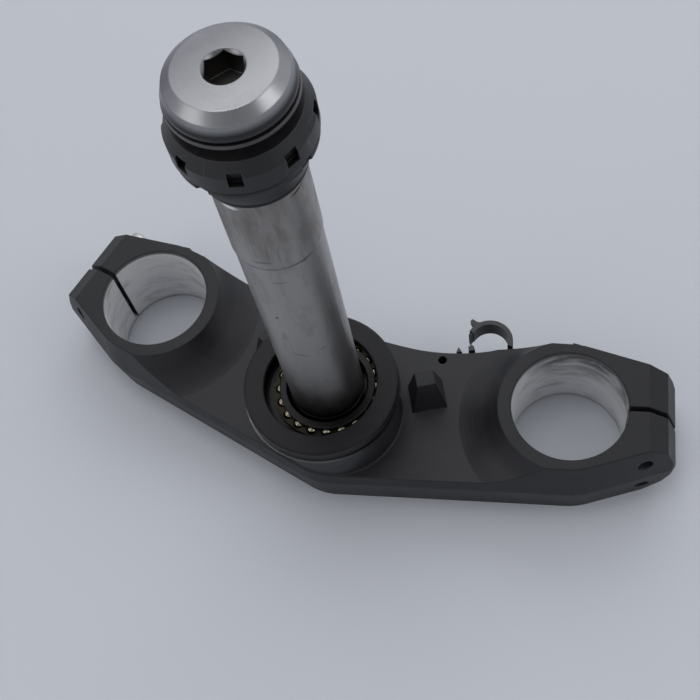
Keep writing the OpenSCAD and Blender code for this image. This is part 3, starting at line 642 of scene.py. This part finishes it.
# Seal carrier: a thin plain steel ring that lies loose under the dust seal.
# Its outer edge is bare on the left; inside that edge it is black with grease, and towards the
# right the edge is painted black as painted shade.
carrier_low, carrier_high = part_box("seal_carrier")
carrier_mid_x = (carrier_low[0] + carrier_high[0]) / 2
carrier_r = (carrier_high[0] - carrier_low[0]) / 2
carrier_edge_r = (carrier_r - 2.4 * MM, carrier_r - 1.6 * MM)
carrier_shade_reach = (6.0 * MM, 22.0 * MM)
carrier_shade_lean = 0.35
carrier_bare = (0.20, 0.20, 0.20)
carrier_dull = (0.085, 0.083, 0.080)
carrier_grease_and_shade_black = (0.012, 0.011, 0.009)

carrier_finish, carrier_tree, carrier_shader = start_finish(
    "greased_carrier_ring", roughness=0.42, metallic=1.0)
carrier_grain = place_group(carrier_tree, fine_grain, Size=1400.0)
carrier_colour = blend_colours(carrier_tree, carrier_grain["Tone"], carrier_bare, carrier_dull)
carrier_xyz = object_place(carrier_tree)[1]
carrier_x = math_node(carrier_tree, "SUBTRACT", carrier_xyz["X"], carrier_mid_x)
carrier_far = hypotenuse(carrier_tree, carrier_x, carrier_xyz["Y"])
carrier_inside = remap(carrier_tree, carrier_far, carrier_edge_r, (1.0, 0.0))
# painted shade: towards the right the ring is painted black
carrier_side = math_node(carrier_tree, "MULTIPLY", carrier_xyz["Y"], carrier_shade_lean)
carrier_side = math_node(carrier_tree, "ADD", carrier_x, carrier_side)
painted_carrier_shade = remap(carrier_tree, carrier_side, carrier_shade_reach, (0.0, 0.92))
carrier_grease_and_shade = math_node(carrier_tree, "MAXIMUM", carrier_inside, painted_carrier_shade)
carrier_colour = blend_colours(carrier_tree, carrier_grease_and_shade, carrier_colour, carrier_grease_and_shade_black)
carrier_tree.links.new(carrier_colour, carrier_shader.inputs["Base Color"])
bump_from(carrier_tree, carrier_shader, carrier_grain["Height"],
          strength=0.3, depth=0.03 * MM, edge_radius=0.25 * MM)
dress("seal_carrier", carrier_finish)

# Circlip under the yoke and screw of the hose clip: plain steel, pressed and turned.
# The circlip snaps into the stem's lower groove, and the screw holds the clip on its wall.
plain_steel = (0.36, 0.36, 0.36)
plain_steel_dull = (0.19, 0.185, 0.18)

plain_finish, plain_tree, plain_shader = start_finish(
    "plain_steel_ring", roughness=0.34, metallic=1.0)
plain_tone = place_group(plain_tree, fine_grain, Size=1400.0)["Tone"]
plain_rings = place_group(plain_tree, turned_rings, Fineness=2400.0)["Height"]
plain_colour = blend_colours(plain_tree, plain_tone, plain_steel, plain_steel_dull)
plain_tree.links.new(plain_colour, plain_shader.inputs["Base Color"])
bump_from(plain_tree, plain_shader, plain_rings,
          strength=0.2, depth=0.02 * MM, edge_radius=0.25 * MM)
dress("stem_circlip", plain_finish)
dress("clip_screw", plain_finish)

# Ring nuts on the thread, and the tab washer between them: turned steel, blackened, with slots for
# a hook spanner. The black is rubbed to grey along the edges that the spanner grips.
nut_low, nut_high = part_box("lock_nut")
slot_floor_r = (nut_high[0] - 1.0 * MM, nut_high[0] - 0.5 * MM)
slot_low_z = nut_low[2] + 3.2 * MM
slot_high_z = nut_low[2] + 8.3 * MM
nut_black = (0.0105, 0.0105, 0.012)
nut_faded = (0.0190, 0.0186, 0.0200)
nut_rubbed = (0.085, 0.085, 0.09)
slot_black = (0.003, 0.003, 0.0035)

nut_finish, nut_tree, nut_shader = start_finish(
    "blackened_steel", roughness=0.42, metallic=0.15, gloss=0.4)
nut_grain = place_group(nut_tree, fine_grain, Size=1500.0)
nut_rub = place_group(nut_tree, rubbed_edges, Width=0.6 * MM, Amount=0.9, Patches=220.0)["Mask"]
nut_hairs = place_group(nut_tree, hair_scratches, Density=0.3)["Mask"]
nut_wear = math_node(nut_tree, "MAXIMUM", nut_rub, nut_hairs)
nut_colour = blend_colours(nut_tree, nut_grain["Tone"], nut_black, nut_faded)
nut_colour = blend_colours(nut_tree, nut_wear, nut_colour, nut_rubbed)
# the floors of the lock nut's spanner slots are painted near black
nut_xyz = object_place(nut_tree)[1]
nut_far = hypotenuse(nut_tree, nut_xyz["X"], nut_xyz["Y"])
in_slot = remap(nut_tree, nut_far, slot_floor_r, (1.0, 0.0))
for limit in (math_node(nut_tree, "GREATER_THAN", nut_xyz["Z"], slot_low_z),
              math_node(nut_tree, "LESS_THAN", nut_xyz["Z"], slot_high_z)):
    in_slot = math_node(nut_tree, "MULTIPLY", in_slot, limit)
nut_colour = blend_colours(nut_tree, in_slot, nut_colour, slot_black)
nut_rough = remap(nut_tree, nut_grain["Tone"], (0.0, 1.0), (0.36, 0.5))
nut_tree.links.new(nut_colour, nut_shader.inputs["Base Color"])
nut_tree.links.new(nut_rough, nut_shader.inputs["Roughness"])
bump_from(nut_tree, nut_shader, nut_grain["Height"],
          strength=0.35, depth=0.04 * MM, edge_radius=0.5 * MM)
dress("adjusting_nut", nut_finish)
dress("lock_nut", nut_finish)
dress("tab_washer", nut_finish)

# Washer under the cap: a plain turned steel ring, dull grey.
# The cap bolt clamps it on the end of the stem.
washer_dull = (0.075, 0.072, 0.075)
washer_grey = (0.13, 0.127, 0.13)

washer_finish, washer_tree, washer_shader = start_finish(
    "dull_steel_washer", roughness=0.40, metallic=1.0)
washer_tone = place_group(washer_tree, fine_grain, Size=1200.0)["Tone"]
washer_rings = place_group(washer_tree, turned_rings, Fineness=2000.0)["Height"]
washer_colour = blend_colours(washer_tree, washer_tone, washer_dull, washer_grey)
washer_tree.links.new(washer_colour, washer_shader.inputs["Base Color"])
bump_from(washer_tree, washer_shader, washer_rings,
          strength=0.2, depth=0.02 * MM, edge_radius=0.35 * MM)
dress("stem_washer", washer_finish)

# Cap bolt: turned from bright aluminium bar, with a hexagon socket in its flat top.
# The tool left fine rings on the flat and on the sloping shoulder.
cap_top_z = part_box("cap_bolt")[1][2]
# direction and reach of the painted reflection across the cap
cap_sheen_way = (0.78, -0.62)
cap_sheen_reach = (-12.0 * MM, 12.0 * MM)
socket_r = (7.6 * MM, 8.0 * MM)
socket_z = (cap_top_z - 1.3 * MM, cap_top_z - 0.5 * MM)
under_rim_z = (cap_top_z - 6.6 * MM, cap_top_z - 4.3 * MM)
cap_shaded = (0.130, 0.130, 0.138)
cap_shaded_light = (0.170, 0.170, 0.180)
cap_lit_dark = (0.270, 0.270, 0.282)
cap_lit = (0.320, 0.320, 0.335)
cap_scratched = (0.20, 0.20, 0.212)
under_rim_dark = (0.024, 0.023, 0.025)
socket_dark = (0.10, 0.095, 0.09)

cap_finish, cap_tree, cap_shader = start_finish(
    "bright_turned_cap", roughness=0.22, metallic=1.0)
cap_tone = place_group(cap_tree, fine_grain, Size=900.0)["Tone"]
cap_rings = place_group(cap_tree, turned_rings, Fineness=1800.0)["Height"]
cap_hairs = place_group(cap_tree, hair_scratches, Density=0.35)["Mask"]
cap_xyz = object_place(cap_tree)[1]
# painted reflection: one side of the flat is painted bright and the other side darker, as the light
# falls on the turned metal
sheen_x = math_node(cap_tree, "MULTIPLY", cap_xyz["X"], cap_sheen_way[0])
sheen_y = math_node(cap_tree, "MULTIPLY", cap_xyz["Y"], cap_sheen_way[1])
painted_cap_sheen = remap(cap_tree, math_node(cap_tree, "ADD", sheen_x, sheen_y), cap_sheen_reach)
shaded_side = blend_colours(cap_tree, cap_tone, cap_shaded, cap_shaded_light)
lit_side = blend_colours(cap_tree, cap_tone, cap_lit_dark, cap_lit)
cap_colour = blend_colours(cap_tree, painted_cap_sheen, shaded_side, lit_side)
cap_colour = blend_colours(cap_tree, cap_hairs, cap_colour, cap_scratched)
# the socket is darker, and the side of the head is near black under its shoulder
under_rim = remap(cap_tree, cap_xyz["Z"], under_rim_z, (0.9, 0.0))
cap_colour = blend_colours(cap_tree, under_rim, cap_colour, under_rim_dark)
cap_far = hypotenuse(cap_tree, cap_xyz["X"], cap_xyz["Y"])
in_socket = remap(cap_tree, cap_far, socket_r, (1.0, 0.0))
below_flat = remap(cap_tree, cap_xyz["Z"], socket_z, (1.0, 0.0))
in_socket = math_node(cap_tree, "MULTIPLY", in_socket, below_flat)
cap_colour = blend_colours(cap_tree, in_socket, cap_colour, socket_dark)
cap_rough = remap(cap_tree, cap_tone, (0.0, 1.0), (0.24, 0.33))
cap_tree.links.new(cap_colour, cap_shader.inputs["Base Color"])
cap_tree.links.new(cap_rough, cap_shader.inputs["Roughness"])
bump_from(cap_tree, cap_shader, cap_rings,
          strength=0.3, depth=0.025 * MM, edge_radius=0.7 * MM)
dress("cap_bolt", cap_finish)

# Pinch bolts of the left clamp: zinc-plated socket screws, with their heads on the far side.
# They are screwed into the near half of the clamp and draw its slot together.
zinc_bright = (0.55, 0.55, 0.54)
zinc_dull = (0.34, 0.335, 0.32)

zinc_finish, zinc_tree, zinc_shader = start_finish(
    "zinc_plated_bolt", roughness=0.34, metallic=1.0)
zinc_grain = place_group(zinc_tree, fine_grain, Size=1100.0)
zinc_colour = blend_colours(zinc_tree, zinc_grain["Tone"], zinc_bright, zinc_dull)
zinc_tree.links.new(zinc_colour, zinc_shader.inputs["Base Color"])
bump_from(zinc_tree, zinc_shader, zinc_grain["Height"],
          strength=0.3, depth=0.05 * MM, edge_radius=0.4 * MM)
dress("left_upper_pinch_bolt", zinc_finish)
dress("left_lower_pinch_bolt", zinc_finish)

# Hose clip: moulded in black plastic and snapped off; a foot, half a loop and stubs are left.
# Its foot is screwed to the wall of the right arm.
plastic_black = (0.012, 0.012, 0.014)
plastic_faded = (0.02, 0.02, 0.023)
plastic_rubbed = (0.05, 0.05, 0.055)

plastic_finish, plastic_tree, plastic_shader = start_finish(
    "black_clip_plastic", roughness=0.48, metallic=0.0)
plastic_grain = place_group(plastic_tree, fine_grain, Size=1600.0)
plastic_rub = place_group(plastic_tree, rubbed_edges, Width=0.4 * MM, Amount=0.6)["Mask"]
plastic_colour = blend_colours(plastic_tree, plastic_grain["Tone"], plastic_black, plastic_faded)
plastic_colour = blend_colours(plastic_tree, plastic_rub, plastic_colour, plastic_rubbed)
plastic_tree.links.new(plastic_colour, plastic_shader.inputs["Base Color"])
bump_from(plastic_tree, plastic_shader, plastic_grain["Height"],
          strength=0.5, depth=0.08 * MM, edge_radius=0.4 * MM)
dress("hose_clip", plastic_finish)
